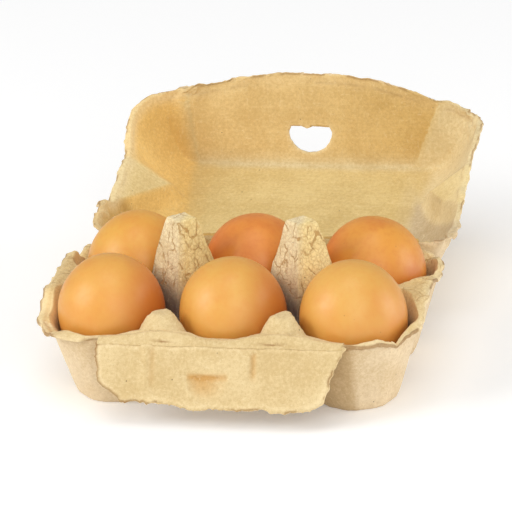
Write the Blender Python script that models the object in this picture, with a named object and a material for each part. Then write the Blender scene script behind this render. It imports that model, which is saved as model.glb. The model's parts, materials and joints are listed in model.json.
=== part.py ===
"""A moulded-pulp carton for six eggs, standing open on a table with an egg in each cup.

Carton frame: X along the front edge, Y from front to back, Z up, metres, Z = 0 under the cups.
The tray is centred on the carton frame; an empty moves everything so that the world's origin is
the middle of the open carton's footprint. The lid is shaped closed and then swung open about its
hinge, and the locking flap is shaped standing up and then folded down about the front crease.
"""

from math import cos, pi, radians, sin, sqrt, tan

import bmesh
import bpy
from mathutils import Vector

MM = 0.001

# Tray: two rows of three cups on a square pitch
PITCH = 49 * MM
COLUMN_X = (-PITCH, 0.0, PITCH)
ROW_Y = (-PITCH / 2, PITCH / 2)
TRAY_LEFT, TRAY_RIGHT = -79.5 * MM, 76.5 * MM
TRAY_FRONT, TRAY_REAR = -50.3 * MM, 50.8 * MM
CORNER_RADII = {(-1, -1): 18 * MM, (1, -1): 25 * MM, (-1, 1): 16 * MM, (1, 1): 19 * MM}
PULP = 1.5 * MM
FRONT_RIM, REAR_RIM = 33 * MM, 36 * MM
SADDLE = 28.5 * MM
SADDLE_REACH = (3 * MM, 13 * MM)

# Cups: soft octagons with a flat floor and a steep draft
CUP_RADIUS = 24.3 * MM
CUP_DRAFT = tan(radians(17))
CUP_WALL = 1.6 * MM
CUP_SIDES = 8
CUP_SOFTNESS = 14
FLOOR_BLEND = 5 * MM

# Posts between the cups, and the small peaks on the rim
POST_X = (-PITCH / 2, PITCH / 2)
POST_TOP = 65.5 * MM
POST_FLAT = 6.0 * MM
POST_SLOPE = 3.5
POST_BLEND = 3 * MM
FRONT_PEAK = {"y": -44.2 * MM, "top": 41.5 * MM}
REAR_PEAK = {"y": 46.5 * MM, "top": 38.5 * MM}
PEAK_FLAT = 4.2 * MM
PEAK_SLOPE, PEAK_STEEPER = 1.6, 1.4
END_PEAK_TOP = {-1: 38.9 * MM, 1: 37 * MM}
END_PEAK_WIDTH = 24 * MM
END_PEAK_RISE, END_RIM_SLOPE = (50 * MM, 60 * MM), (60 * MM, 76 * MM)

# Lid, measured from its hinge line with the lid shut level; depth is upward from there
REAR_HINGE_Y, REAR_HINGE_Z = 53 * MM, 37.5 * MM
LID_OPEN = 165.0
LID_DEPTH = 31.0 * MM
LID_HALF_LENGTH = 77.5 * MM
LID_FRONT_Y, LID_FRONT_FOLD_Y = -52.6 * MM, -40.5 * MM
LID_REAR_Y, LID_REAR_FOLD_Y = 53 * MM, 43 * MM
LID_ROOT_DEPTH = 1.0 * MM
LID_CORNER = 22 * MM
LID_EAR_Y, LID_EAR_CUT = 44 * MM, 7 * MM
PANEL_HALF_FRONT, PANEL_HALF_MIDDLE = 48.5 * MM, 44 * MM
LID_BLEND = 5 * MM
ARCH_HALF, ARCH_DEPTH, ARCH_BOW = 56 * MM, 6.8 * MM, 4.6 * MM
LID_RIM_SHARPNESS = 8
POCKET_BULGE, POCKET_Y = 0.9, (2 * MM, 20 * MM)
# Each end's rim draws in and lifts between its two ears: from, full, full until, to
END_NOTCH_Y = {
    -1: (-30 * MM, 2 * MM, 24 * MM, 31 * MM),
    1: (-24 * MM, -8 * MM, 0.0, 14 * MM),
}
END_NOTCH_IN = {-1: 3.2 * MM, 1: 1.2 * MM}
END_NOTCH_LIFT = {-1: 4.2 * MM, 1: 1.5 * MM}
CORNER_LIFT, CORNER_LIFT_FROM_X, CORNER_LIFT_TO_Y = 3.5 * MM, 17 * MM, -20 * MM

# Lock window in the lid's front wall, and the lug on the flap that goes through it
WINDOW_X, WINDOW_FROM_FOLD = -1.2 * MM, 12.5 * MM
WINDOW_HALF_WIDTH, WINDOW_TALL = 9.6 * MM, 12.2 * MM
CUTTER_DEPTHS = (-6 * MM, 8 * MM)
LUG_X, LUG_FROM_CREASE = -2.6 * MM, 21.4 * MM
LUG_HALF_WIDTH, LUG_TALL = 7.6 * MM, 7.2 * MM
LUG_DEPTH, LUG_IN_PLATE, LUG_PAST_PLATE = 5.5 * MM, 0.2 * MM, 1 * MM
LUG_DRAFT = 0.84
LUG_SKIN = 1.3 * MM

# Locking flap, along its own height from the front crease
FRONT_HINGE_Y, FRONT_HINGE_Z = -51.9 * MM, 32.6 * MM
FLAP_HANG = 24.0
FLAP_LENGTH = 26.5 * MM
FLAP_HALF_WIDTH = 50 * MM
FLAP_THICK, FLAP_ROOT_THICK = 1.7 * MM, 1.0 * MM
FLAP_ROOT, FLAP_ROOT_TAPER = 0.9 * MM, 3 * MM

# Living hinges: thin strips from the tray's edge to each hinge line
WEB_HALF_THICK = 0.35 * MM
WEB_GAP = 0.3 * MM
FRONT_WEB_HALF, REAR_WEB_HALF = 49 * MM, 66 * MM

# Eggs: solids of revolution, pointed end down
EGG_RADIUS = 21.6 * MM
EGG_BELT_Z = 33.6 * MM
EGG_ABOVE, EGG_BELOW = 23.5 * MM, 31.3 * MM
EGG_SEGMENTS, EGG_RINGS = 20, 13

# Mesh fineness
SIDE_STEPS = (0.0, 0.1, 0.23, 0.36, 0.5, 0.64, 0.77, 0.9)
CUP_RINGS = (0.48, 0.62, 0.8, 1.0)
OUTER_RINGS = (0.35, 0.7, 1.0)
LID_COLUMNS = 26
COLUMN_CROWDING = 0.35
LID_MIDDLE_ROWS = [y * MM for y in (-28, -19, -10, 0, 10, 19, 28)]
LID_FRONT_ROWS = [LID_FRONT_Y + d * MM for d in (0, 1.4, 3.7, 6.4, 9, 11.4, 13.8, 17.2)]
LID_REAR_ROWS = [LID_REAR_Y - d * MM for d in (16, 12, 9.5, 7, 4.5, 2, 0)]

# Where the middle of the open carton's footprint lies in the carton frame
FOOTPRINT_Y = 47.9 * MM


# ---------------------------------------------------------------- small helpers


def soft_max(a, b, blend):
    """The larger value, rounded where the two are within blend of each other."""
    return max(a, b) + max(blend - abs(a - b), 0.0) ** 2 / (4 * blend)


def soft_min(a, b, blend):
    return -soft_max(-a, -b, blend)


def ease(value, start, end):
    t = min(max((value - start) / (end - start), 0.0), 1.0)
    return t * t * (3 - 2 * t)


def mix(a, b, t):
    return a + (b - a) * t


def hump(distance, half_width):
    """1 at the middle, 0 at half_width and beyond, smooth at both."""
    return 1 - ease(abs(distance), 0.0, half_width)


def pulp(name, colour):
    return plain_material(name, colour, roughness=0.95)


def plain_material(name, colour, roughness):
    material = bpy.data.materials.new(name)
    material.use_nodes = True
    shader = material.node_tree.nodes["Principled BSDF"]
    shader.inputs["Base Color"].default_value = (*colour, 1)
    shader.inputs["Roughness"].default_value = roughness
    shader.inputs["Metallic"].default_value = 0
    return material


def new_object(name, bm, material, parent, location=(0, 0, 0), turn=0.0):
    """An object from a finished bmesh, with its faces pointing out, turned by degrees about X."""
    bmesh.ops.recalc_face_normals(bm, faces=bm.faces)
    mesh = bpy.data.meshes.new(name)
    bm.to_mesh(mesh)
    bm.free()
    mesh.materials.append(material)
    mesh.shade_smooth()
    mesh.set_sharp_from_angle(angle=radians(40))
    made = bpy.data.objects.new(name, mesh)
    bpy.context.scene.collection.objects.link(made)
    made.parent = parent
    made.location = location
    made.rotation_euler = (radians(turn), 0, 0)
    return made


# ---------------------------------------------------------------- tray


def cup_distance(dx, dy):
    """Distance from a cup's axis, measured so that a constant value is a soft octagon."""
    total = 0.0
    for side in range(CUP_SIDES):
        angle = 2 * pi * side / CUP_SIDES
        total += max(dx * cos(angle) + dy * sin(angle), 0.0) ** CUP_SOFTNESS
    return total ** (1 / CUP_SOFTNESS)


def nearest_cup(x, y):
    return min(cup_distance(x - cx, y - cy) for cx in COLUMN_X for cy in ROW_Y)


def rim_height(y):
    return mix(FRONT_RIM, REAR_RIM, (y - TRAY_FRONT) / (TRAY_REAR - TRAY_FRONT))


def edge_distance(x, y):
    return min(x - TRAY_LEFT, TRAY_RIGHT - x, y - TRAY_FRONT, TRAY_REAR - y)


def ridge_height(x, y):
    """Top of the pulp between the cups: a low saddle inside, rising to the rim, with end peaks."""
    rim = rim_height(y)
    saddle = mix(rim, SADDLE, ease(edge_distance(x, y), *SADDLE_REACH))
    side = -1 if x < 0 else 1
    end = ease(abs(x), *END_PEAK_RISE) * hump(y, END_PEAK_WIDTH)
    outward = ease(abs(x), *END_RIM_SLOPE)
    return mix(saddle, mix(rim, END_PEAK_TOP[side], outward), end)


def post_height(x, y, shrink=0.0):
    """Four-sided posts whose faces look at the cups."""
    spread = min(abs(x - px) + abs(y) for px in POST_X)
    face = POST_TOP + POST_SLOPE * (POST_FLAT - shrink * sqrt(2) - spread)
    return soft_min(POST_TOP - shrink, face, POST_BLEND)


def peak_height(x, y, peak, steeper_side):
    """Rounded peaks between the cups on the front and rear rim; steeper on one side."""
    dx = min(abs(x - px) for px in POST_X)
    dy = y - peak["y"]
    if dy * steeper_side > 0:
        dy *= PEAK_STEEPER
    face = peak["top"] + PEAK_SLOPE * (PEAK_FLAT - sqrt(dx * dx + dy * dy))
    return soft_min(peak["top"], face, POST_BLEND)


def tray_top(x, y):
    """Height of the tray's upper surface."""
    wall = FRONT_RIM - (CUP_RADIUS - nearest_cup(x, y)) / CUP_DRAFT
    cup = soft_max(PULP, wall, FLOOR_BLEND)
    ridge = max(
        ridge_height(x, y),
        peak_height(x, y, FRONT_PEAK, -1),
        peak_height(x, y, REAR_PEAK, 1),
    )
    return max(post_height(x, y), min(cup, ridge))


def tray_bottom(x, y):
    """Height of the tray's underside: the same shape, one pulp thickness inside."""
    wall = FRONT_RIM - (CUP_RADIUS + CUP_WALL - nearest_cup(x, y)) / CUP_DRAFT
    cup = soft_max(0.0, wall, FLOOR_BLEND)
    ridge = max(
        ridge_height(x, y),
        peak_height(x, y, FRONT_PEAK, -1),
        peak_height(x, y, REAR_PEAK, 1),
    ) - PULP
    return max(post_height(x, y, CUP_WALL), min(cup, ridge))


def round_corner(x, y):
    """Moves an outline point near one of the tray's corners onto that corner's arc."""
    side_x, side_y = (-1 if x < 0 else 1), (-1 if y < 0 else 1)
    radius = CORNER_RADII[side_x, side_y]
    centre_x = (TRAY_RIGHT if side_x > 0 else TRAY_LEFT) - side_x * radius
    centre_y = (TRAY_REAR if side_y > 0 else TRAY_FRONT) - side_y * radius
    out_x, out_y = (x - centre_x) * side_x, (y - centre_y) * side_y
    if out_x <= 0 or out_y <= 0:
        return x, y
    scale = radius / sqrt(out_x**2 + out_y**2)
    return centre_x + (x - centre_x) * scale, centre_y + (y - centre_y) * scale


def cell_outline(column, row):
    """The points round one cup's share of the tray, anticlockwise from its front left."""
    left = TRAY_LEFT if column == 0 else COLUMN_X[column] - PITCH / 2
    right = TRAY_RIGHT if column == 2 else COLUMN_X[column] + PITCH / 2
    front = TRAY_FRONT if row == 0 else 0.0
    rear = 0.0 if row == 0 else TRAY_REAR
    corners = [(left, front), (right, front), (right, rear), (left, rear)]
    points = []
    for start, end in zip(corners, corners[1:] + corners[:1]):
        for t in SIDE_STEPS:
            points.append(round_corner(mix(start[0], end[0], t), mix(start[1], end[1], t)))
    return points


def ring_points(centre, outline, ring):
    """One ring of a cup's mesh: inside the cup up to 1, then out to the outline by 2."""
    points = []
    for x, y in outline:
        dx, dy = x - centre[0], y - centre[1]
        edge = min(CUP_RADIUS / cup_distance(dx, dy), 1.0)
        scale = edge * ring if ring <= 1 else mix(edge, 1.0, ring - 1)
        points.append((centre[0] + dx * scale, centre[1] + dy * scale))
    return points


def add_tray_surface(bm, height):
    """One whole surface of the tray, cup by cup."""
    rings = list(CUP_RINGS) + [1 + r for r in OUTER_RINGS]
    for column, cx in enumerate(COLUMN_X):
        for row, cy in enumerate(ROW_Y):
            outline = cell_outline(column, row)
            middle = bm.verts.new((cx, cy, height(cx, cy)))
            inner = None
            for ring in rings:
                verts = [
                    bm.verts.new((x, y, height(x, y)))
                    for x, y in ring_points((cx, cy), outline, ring)
                ]
                for i, vert in enumerate(verts):
                    after = (i + 1) % len(verts)
                    if inner is None:
                        bm.faces.new((middle, vert, verts[after]))
                    else:
                        bm.faces.new((inner[i], vert, verts[after], inner[after]))
                inner = verts


def build_tray(material, parent):
    bm = bmesh.new()
    add_tray_surface(bm, tray_top)
    add_tray_surface(bm, tray_bottom)
    bmesh.ops.remove_doubles(bm, verts=bm.verts, dist=0.01 * MM)
    rims = [e for e in bm.edges if e.is_boundary]
    bmesh.ops.bridge_loops(bm, edges=rims)
    bmesh.ops.triangulate(bm, faces=bm.faces)
    return new_object("base_tray", bm, material, parent)


# ---------------------------------------------------------------- lid


def lid_half_length(y, side):
    """Half the lid's length at its rim, with round front corners, cut ears and a side notch."""
    half = LID_HALF_LENGTH
    past = LID_FRONT_Y + LID_CORNER - y
    if past > 0:
        half += sqrt(max(LID_CORNER**2 - past**2, 0.0)) - LID_CORNER
    ear = max(y - LID_EAR_Y, 0.0) / (LID_REAR_Y - LID_EAR_Y)
    return half - LID_EAR_CUT * ear**2 - END_NOTCH_IN[side] * end_notch(y, side)


def end_notch(y, side):
    start, full, until, end = END_NOTCH_Y[side]
    return ease(y, start, full) * (1 - ease(y, until, end))


def rim_lift(x, y, side):
    """How far the lid's rim stands off its hinge's level: at the notches and the right corner."""
    corner = ease(x, CORNER_LIFT_FROM_X, ARCH_HALF) * (1 - ease(y, LID_FRONT_Y, CORNER_LIFT_TO_Y))
    return END_NOTCH_LIFT[side] * end_notch(y, side) + CORNER_LIFT * corner


def panel_half_length(y):
    t = ease(abs(y), 0.0, -LID_FRONT_FOLD_Y)
    return mix(PANEL_HALF_MIDDLE, PANEL_HALF_FRONT, t)


def arch(x):
    return max(1 - (x / ARCH_HALF) ** 2, 0.0)


def front_edge_y(x):
    return LID_FRONT_Y - ARCH_BOW * arch(x)


def lid_depth(x, y):
    """Depth of the lid's inner surface above the hinge's level, with the lid shut level."""
    side = -1 if x < 0 else 1
    half = lid_half_length(y, side)
    edge = rim_lift(x, y, side)
    t = min(max((half - abs(x)) / (half - panel_half_length(y)), 0.0), 1.0)
    power = 1 + POCKET_BULGE * ease(abs(y), *POCKET_Y)
    end = edge + (LID_DEPTH - edge) * (1 - (1 - t) ** power)
    front_y, low = front_edge_y(x), ARCH_DEPTH * arch(x) - rim_lift(x, LID_FRONT_Y, side)
    front = (y - front_y) * (LID_DEPTH + low) / (LID_FRONT_FOLD_Y - front_y) - low
    rear = LID_ROOT_DEPTH + (LID_REAR_Y - y) * (LID_DEPTH - LID_ROOT_DEPTH) / (
        LID_REAR_Y - LID_REAR_FOLD_Y
    )
    blend = LID_BLEND * min(max(LID_RIM_SHARPNESS * t, 0.01), 1.0)
    walls = soft_min(soft_min(front, rear, LID_BLEND), end, blend)
    return soft_min(walls, LID_DEPTH, blend)


def lid_point(u, y):
    """A point of the lid's inner surface relative to its hinge: u runs -1 to 1 along a row."""
    x = u * lid_half_length(y, -1 if u < 0 else 1)
    wall = min(max((LID_FRONT_FOLD_Y - y) / (LID_FRONT_FOLD_Y - LID_FRONT_Y), 0.0), 1.0)
    y += wall * (front_edge_y(x) - LID_FRONT_Y)
    return Vector((x, y - REAR_HINGE_Y, lid_depth(x, y)))


def window_outline(half_width, tall, middle_x, points=9):
    """A bowl toward the fold, closed by a nearly straight edge with a small notch in it."""
    outline = []
    for i in range(points):
        angle = pi * i / (points - 1)
        outline.append((cos(angle), 0.78 * sin(angle) - 0.28))
    outline += [(-0.9, -0.46), (-0.42, -0.5), (-0.15, -0.39), (0.12, -0.49), (0.9, -0.46)]
    return [(middle_x + half_width * x, tall * z) for x, z in outline]


def lid_wall_frame():
    """The window's centre, the direction up the wall to the fold, and the wall's outward normal."""
    up = Vector(
        (0, LID_FRONT_FOLD_Y - front_edge_y(0), LID_DEPTH + ARCH_DEPTH)
    ).normalized()
    fold = Vector((0, LID_FRONT_FOLD_Y - REAR_HINGE_Y, LID_DEPTH))
    outward = Vector((0, -up.z, up.y))
    return fold - up * WINDOW_FROM_FOLD, up, outward


def prism(bm, outlines):
    """A solid between stacked loops of points that all have the same count."""
    loops = [[bm.verts.new(p) for p in outline] for outline in outlines]
    for low, high in zip(loops, loops[1:]):
        for i in range(len(low)):
            after = (i + 1) % len(low)
            bm.faces.new((low[i], low[after], high[after], high[i]))
    bm.faces.new(loops[0])
    bm.faces.new(loops[-1])


def build_window_cutter(material, parent, location, turn):
    centre, up, outward = lid_wall_frame()
    bm = bmesh.new()
    outline = window_outline(WINDOW_HALF_WIDTH, WINDOW_TALL, WINDOW_X)
    prism(bm, [
        [centre + Vector((x, 0, 0)) + up * h + outward * depth for x, h in outline]
        for depth in CUTTER_DEPTHS
    ])
    cutter = new_object("window_cutter", bm, material, parent, location, turn)
    cutter.hide_render = True
    cutter.display_type = "WIRE"
    return cutter


def build_lid(material, parent):
    rows = []
    bm = bmesh.new()
    for y in LID_FRONT_ROWS + LID_MIDDLE_ROWS + LID_REAR_ROWS:
        row = []
        for i in range(LID_COLUMNS + 1):
            s = 2 * i / LID_COLUMNS - 1
            u = s * (1 + COLUMN_CROWDING * (1 - s * s))
            row.append(bm.verts.new(lid_point(u, y)))
        rows.append(row)
    for near, far in zip(rows, rows[1:]):
        for i in range(LID_COLUMNS):
            bm.faces.new((near[i], near[i + 1], far[i + 1], far[i]))
    bmesh.ops.triangulate(bm, faces=bm.faces)
    location = (0, REAR_HINGE_Y, REAR_HINGE_Z)
    lid = new_object("lid", bm, material, parent, location, -LID_OPEN)
    flip_inward(lid)
    shell = lid.modifiers.new("pulp", "SOLIDIFY")
    shell.thickness = PULP
    shell.offset = -1
    cutter = build_window_cutter(material, parent, location, -LID_OPEN)
    window = lid.modifiers.new("window", "BOOLEAN")
    window.operation = "DIFFERENCE"
    window.solver = "EXACT"
    window.object = cutter
    return lid


def flip_inward(lid):
    """Points the sheet's normals into the lid, so that its thickness grows outward."""
    mesh = lid.data
    middle = min(mesh.polygons, key=lambda p: abs(p.center.x) + abs(p.center.y + REAR_HINGE_Y))
    if middle.normal.z > 0:
        mesh.flip_normals()


# ---------------------------------------------------------------- locking flap


def flap_outline():
    """The flap's edge in its own plane: x along the crease, height away from it."""
    w, length = FLAP_HALF_WIDTH, FLAP_LENGTH
    return [
        (-w, FLAP_ROOT),
        (w, FLAP_ROOT),
        (w - 3.5 * MM, 0.28 * length),
        (w - 6.6 * MM, 0.72 * length),
        (w - 8.2 * MM, 0.9 * length),
        (w - 12 * MM, length),
        (-10 * MM, length),
        (-w + 11 * MM, 0.92 * length),
        (-w + 5 * MM, 0.84 * length),
        (-w + 1.2 * MM, 0.66 * length),
    ]


def inset_outline(outline, height):
    """The flap's outline pulled up so that nothing of it is nearer to the crease than height."""
    return [(x, max(z, height)) for x, z in outline]


def build_flap(material, parent):
    location = (0, FRONT_HINGE_Y, FRONT_HINGE_Z)
    turn = 180 - FLAP_HANG
    flap = new_object("locking_flap", flap_plate(), material, parent, location, turn)
    for name, operation, lug in (
        ("lug_body", "UNION", lug_solid(0.0)),
        ("lug_hollow", "DIFFERENCE", lug_solid(LUG_SKIN)),
    ):
        helper = new_object(name, lug, material, parent, location, turn)
        helper.hide_render = True
        helper.display_type = "WIRE"
        step = flap.modifiers.new(name, "BOOLEAN")
        step.operation = operation
        step.solver = "EXACT"
        step.object = helper
    return flap


def flap_plate():
    """The flat plate, thinned along the crease."""
    bm = bmesh.new()
    outline = flap_outline()
    sunk = inset_outline(outline, FLAP_ROOT_TAPER)
    half, root = FLAP_THICK / 2, FLAP_ROOT_THICK / 2
    loops = []
    for points, y in ((sunk, -half), (outline, -root), (outline, root), (sunk, half)):
        loops.append([Vector((x, y, z)) for x, z in points])
    prism(bm, loops)
    bmesh.ops.triangulate(bm, faces=bm.faces)
    return bm


def lug_solid(skin):
    """The lug that catches in the lid's window, or with a skin, the hollow behind it."""
    half = FLAP_THICK / 2
    back = -half - LUG_DEPTH + skin
    front = -half + LUG_IN_PLATE if skin == 0 else half + LUG_PAST_PLATE
    bm = bmesh.new()
    loops = []
    for y, scale in ((back, LUG_DRAFT), (front, 1.0)):
        width, tall = (LUG_HALF_WIDTH - skin) * scale, (LUG_TALL - 2 * skin) * scale
        outline = window_outline(width, tall, LUG_X)
        loops.append([Vector((x, y, LUG_FROM_CREASE + z)) for x, z in outline])
    prism(bm, loops)
    return bm


# ---------------------------------------------------------------- living hinges and eggs


def build_web(name, half_width, edge_y, axis_y, axis_z, material, parent):
    """A thin strip from just off the tray's edge to the hinge line, round where it ends."""
    outward = 1 if axis_y > edge_y else -1
    t = WEB_HALF_THICK
    section = [(edge_y + outward * WEB_GAP, t), (axis_y, t)]
    section += [(axis_y + outward * t, 0.0), (axis_y, -t), (edge_y + outward * WEB_GAP, -t)]
    bm = bmesh.new()
    prism(bm, [
        [Vector((x, y, axis_z + z)) for y, z in section] for x in (-half_width, half_width)
    ])
    return new_object(name, bm, material, parent)


def egg_radius(height):
    reach = EGG_ABOVE if height > 0 else EGG_BELOW
    return EGG_RADIUS * sqrt(max(1 - (height / reach) ** 2, 0.0))


def build_egg_mesh(material):
    """A lathe of an egg's profile about its own axis, with its origin at its widest level."""
    bm = bmesh.new()
    rings = []
    for i in range(1, EGG_RINGS):
        angle = pi * i / EGG_RINGS
        z = -cos(angle) * (EGG_ABOVE if cos(angle) < 0 else EGG_BELOW)
        rings.append([
            bm.verts.new((
                egg_radius(z) * cos(2 * pi * k / EGG_SEGMENTS),
                egg_radius(z) * sin(2 * pi * k / EGG_SEGMENTS),
                z,
            ))
            for k in range(EGG_SEGMENTS)
        ])
    for low, high in zip(rings, rings[1:]):
        for k in range(EGG_SEGMENTS):
            after = (k + 1) % EGG_SEGMENTS
            bm.faces.new((low[k], low[after], high[after], high[k]))
    for ring, z in ((rings[0], -EGG_BELOW), (rings[-1], EGG_ABOVE)):
        pole = bm.verts.new((0, 0, z))
        for k in range(EGG_SEGMENTS):
            bm.faces.new((ring[k], ring[(k + 1) % EGG_SEGMENTS], pole))
    bmesh.ops.recalc_face_normals(bm, faces=bm.faces)
    bmesh.ops.triangulate(bm, faces=bm.faces)
    mesh = bpy.data.meshes.new("egg")
    bm.to_mesh(mesh)
    bm.free()
    mesh.materials.append(material)
    mesh.shade_smooth()
    return mesh


def build_eggs(material, parent):
    mesh = build_egg_mesh(material)
    for row, y in zip(("front", "rear"), ROW_Y):
        for column, x in zip(("left", "middle", "right"), COLUMN_X):
            egg = bpy.data.objects.new(f"egg_{row}_{column}", mesh)
            bpy.context.scene.collection.objects.link(egg)
            egg.parent = parent
            egg.location = (x, y, EGG_BELT_Z)


# ---------------------------------------------------------------- the whole carton


def main():
    for old in list(bpy.data.objects):
        bpy.data.objects.remove(old)
    carton = bpy.data.objects.new("carton", None)
    bpy.context.scene.collection.objects.link(carton)
    carton.location = (0, -FOOTPRINT_Y, 0)

    tray_pulp = pulp("tray_pulp", (0.60, 0.47, 0.28))
    lid_pulp = pulp("lid_pulp", (0.66, 0.51, 0.28))
    shell = plain_material("eggshell", (0.72, 0.35, 0.13), roughness=0.5)

    build_tray(tray_pulp, carton)
    build_lid(lid_pulp, carton)
    build_flap(tray_pulp, carton)
    build_web(
        "front_hinge", FRONT_WEB_HALF, TRAY_FRONT, FRONT_HINGE_Y, FRONT_HINGE_Z, tray_pulp, carton
    )
    build_web(
        "rear_hinge", REAR_WEB_HALF, TRAY_REAR, REAR_HINGE_Y, REAR_HINGE_Z, tray_pulp, carton
    )
    build_eggs(shell, carton)


main()
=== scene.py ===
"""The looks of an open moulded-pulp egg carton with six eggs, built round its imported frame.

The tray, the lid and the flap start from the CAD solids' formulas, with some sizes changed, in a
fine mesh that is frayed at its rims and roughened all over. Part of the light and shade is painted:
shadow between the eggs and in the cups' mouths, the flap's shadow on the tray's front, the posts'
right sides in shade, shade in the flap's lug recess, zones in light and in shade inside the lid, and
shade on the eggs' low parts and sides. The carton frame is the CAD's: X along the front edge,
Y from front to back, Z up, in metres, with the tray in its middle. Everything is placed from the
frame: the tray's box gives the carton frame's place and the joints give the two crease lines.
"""

import json
from math import cos, pi, radians, sin, tan

import bpy
import numpy as np
from mathutils import Matrix, Vector, kdtree


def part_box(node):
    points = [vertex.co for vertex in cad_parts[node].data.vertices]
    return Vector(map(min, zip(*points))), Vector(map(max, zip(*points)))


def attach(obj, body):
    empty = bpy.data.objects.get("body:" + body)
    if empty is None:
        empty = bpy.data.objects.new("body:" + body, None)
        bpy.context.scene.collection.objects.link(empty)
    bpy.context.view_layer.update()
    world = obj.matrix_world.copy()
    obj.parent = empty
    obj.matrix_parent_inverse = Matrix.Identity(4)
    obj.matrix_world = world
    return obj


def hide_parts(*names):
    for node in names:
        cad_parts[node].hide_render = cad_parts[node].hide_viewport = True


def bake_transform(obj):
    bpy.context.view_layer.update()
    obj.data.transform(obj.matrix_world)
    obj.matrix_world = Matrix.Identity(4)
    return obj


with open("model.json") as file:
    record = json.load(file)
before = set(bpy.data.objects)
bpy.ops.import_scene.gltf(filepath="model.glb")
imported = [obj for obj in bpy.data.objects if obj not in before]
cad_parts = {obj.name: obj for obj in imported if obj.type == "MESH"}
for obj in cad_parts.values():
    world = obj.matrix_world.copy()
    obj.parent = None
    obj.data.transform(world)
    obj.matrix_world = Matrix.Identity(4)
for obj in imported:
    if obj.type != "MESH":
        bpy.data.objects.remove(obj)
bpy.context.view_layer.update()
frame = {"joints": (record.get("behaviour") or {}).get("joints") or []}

MM = 0.001


def mm(*sizes):
    return tuple(size * MM for size in sizes)


# Tray
PITCH = 49 * MM
COLUMN_X = (-PITCH, 0.0, PITCH)
ROW_Y = (-PITCH / 2, PITCH / 2)
TRAY_LEFT, TRAY_RIGHT = mm(-79.5, 76.5)
TRAY_FRONT, TRAY_REAR = mm(-50.3, 50.8)
CORNER_RADII = {(-1, -1): 23 * MM, (1, -1): 25 * MM, (-1, 1): 16 * MM, (1, 1): 19 * MM}
PULP = 1.5 * MM
FRONT_RIM, REAR_RIM = mm(33, 36)
SADDLE = 28.5 * MM
SADDLE_REACH = mm(3, 13)
CUP_RADIUS = 24.3 * MM
CUP_DRAFT = tan(radians(17))
CUP_WALL = 1.6 * MM
CUP_SIDES = 8
CUP_SOFTNESS = 15
# The front right cup was moulded with its facets turned
CUP_TURNS = {(2, 0): radians(-20)}
FLOOR_BLEND = 5 * MM
POST_X = (-PITCH / 2, PITCH / 2)
POST_TOP = 65.3 * MM
POST_FLAT = 6.0 * MM
POST_SLOPE = 3.5
POST_STRETCH = 0.93
POST_BLEND = 3 * MM
FRONT_PEAK = {"y": -43.2 * MM, "top": 41.5 * MM}
REAR_PEAK = {"y": 46.5 * MM, "top": 38.5 * MM}
PEAK_FLAT = 5.0 * MM
PEAK_SLOPE, PEAK_STEEPER = 1.6, 1.4
END_PEAK_TOP = {-1: 39.8 * MM, 1: 39.2 * MM}
END_PEAK_INNER = {-1: 0.0, 1: 3.2 * MM}
END_PEAK_Y = {-1: mm(-27, -14, 23, 30), 1: mm(-22, -3, 5, 24)}
LEFT_DIP, LEFT_DIP_Y = mm(4.5, 36)
FRONT_SWELL, FRONT_SWELL_HALF = mm(2.8, 23)
LIP_ROLL = 1.2 * MM
MOUTH_BLEND = 1.2 * MM
MOUTH_LIP = 0.7 * MM

# Lid, measured from its hinge line with the lid shut level
LID_OPEN = 165.0
LID_DEPTH = 31.0 * MM
LID_HALF_LENGTH = 77.5 * MM
LID_FRONT_Y, LID_FRONT_FOLD_Y = mm(-52.6, -40.5)
LID_REAR_Y, LID_REAR_FOLD_Y = mm(53, 43)
LID_ROOT_DEPTH = 1.0 * MM
LID_CORNER = 22 * MM
LID_EAR_Y, LID_EAR_CUT = mm(44, 7)
PANEL_HALF_FRONT, PANEL_HALF_MIDDLE = mm(48.5, 44)
LID_BLEND = 5 * MM
ARCH_HALF, ARCH_DEPTH, ARCH_BOW = mm(56, 6.8, 4.6)
POCKET_BULGE = 1.1
LID_FLANGE, FRONT_LIP = mm(2.2, 0.5)
# A flat pointed facet in each end: its middle and half width at the rim, how far its point is to
# the front of its middle, and how much of the way to the panel it reaches
FACET_Y, FACET_HALF = {-1: 7.5 * MM, 1: 10 * MM}, {-1: 17.5 * MM, 1: 17 * MM}
FACET_LEAN, FACET_REACH = {-1: -19 * MM, 1: -20 * MM}, 0.6
# The folds between the front wall and the ends: how far out they start at the rim, and where they
# reach the panel
CORNER_FOLD_RIM, CORNER_FOLD_PANEL = 56 * MM, {-1: 50.5 * MM, 1: 44.5 * MM}
CORNER_FOLD_SLOPE = 0.3
END_NOTCH_Y = {
    -1: mm(-30, -9, 24, 31),
    1: mm(-24, -8, 8, 20),
}
END_NOTCH_IN = {-1: 2.0 * MM, 1: 1.2 * MM}
END_NOTCH_LIFT = {-1: 4.8 * MM, 1: 3.4 * MM}
CORNER_LIFT, LEFT_CORNER_DROP = mm(3.5, 1.4)
WINDOW_X, WINDOW_FROM_FOLD = mm(-1.2, 12.5)
WINDOW_HALF_WIDTH, WINDOW_TALL = mm(9.6, 12.2)

# Flap, along its own height from the front crease
FLAP_HANG = 24.0
FLAP_LENGTH = 26.5 * MM
FLAP_HALF_WIDTH = 50 * MM
FLAP_THICK = 1.7 * MM
FLAP_ROOT = 0.9 * MM
LUG_X = -4.3 * MM
LUG_TOP, LUG_BOTTOM = mm(13.0, 24.6)
LUG_HALF_WIDTH = 8.8 * MM
DISH_DEPTH = 1.9 * MM

# Eggs
EGG_RADIUS = 21.6 * MM
EGG_BELT_Z = 33.6 * MM
EGG_ABOVE, EGG_BELOW = mm(23.5, 31.3)
EGG_SHIFTS = {"egg_front_left": -0.8 * MM, "egg_rear_right": -0.5 * MM}

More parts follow.
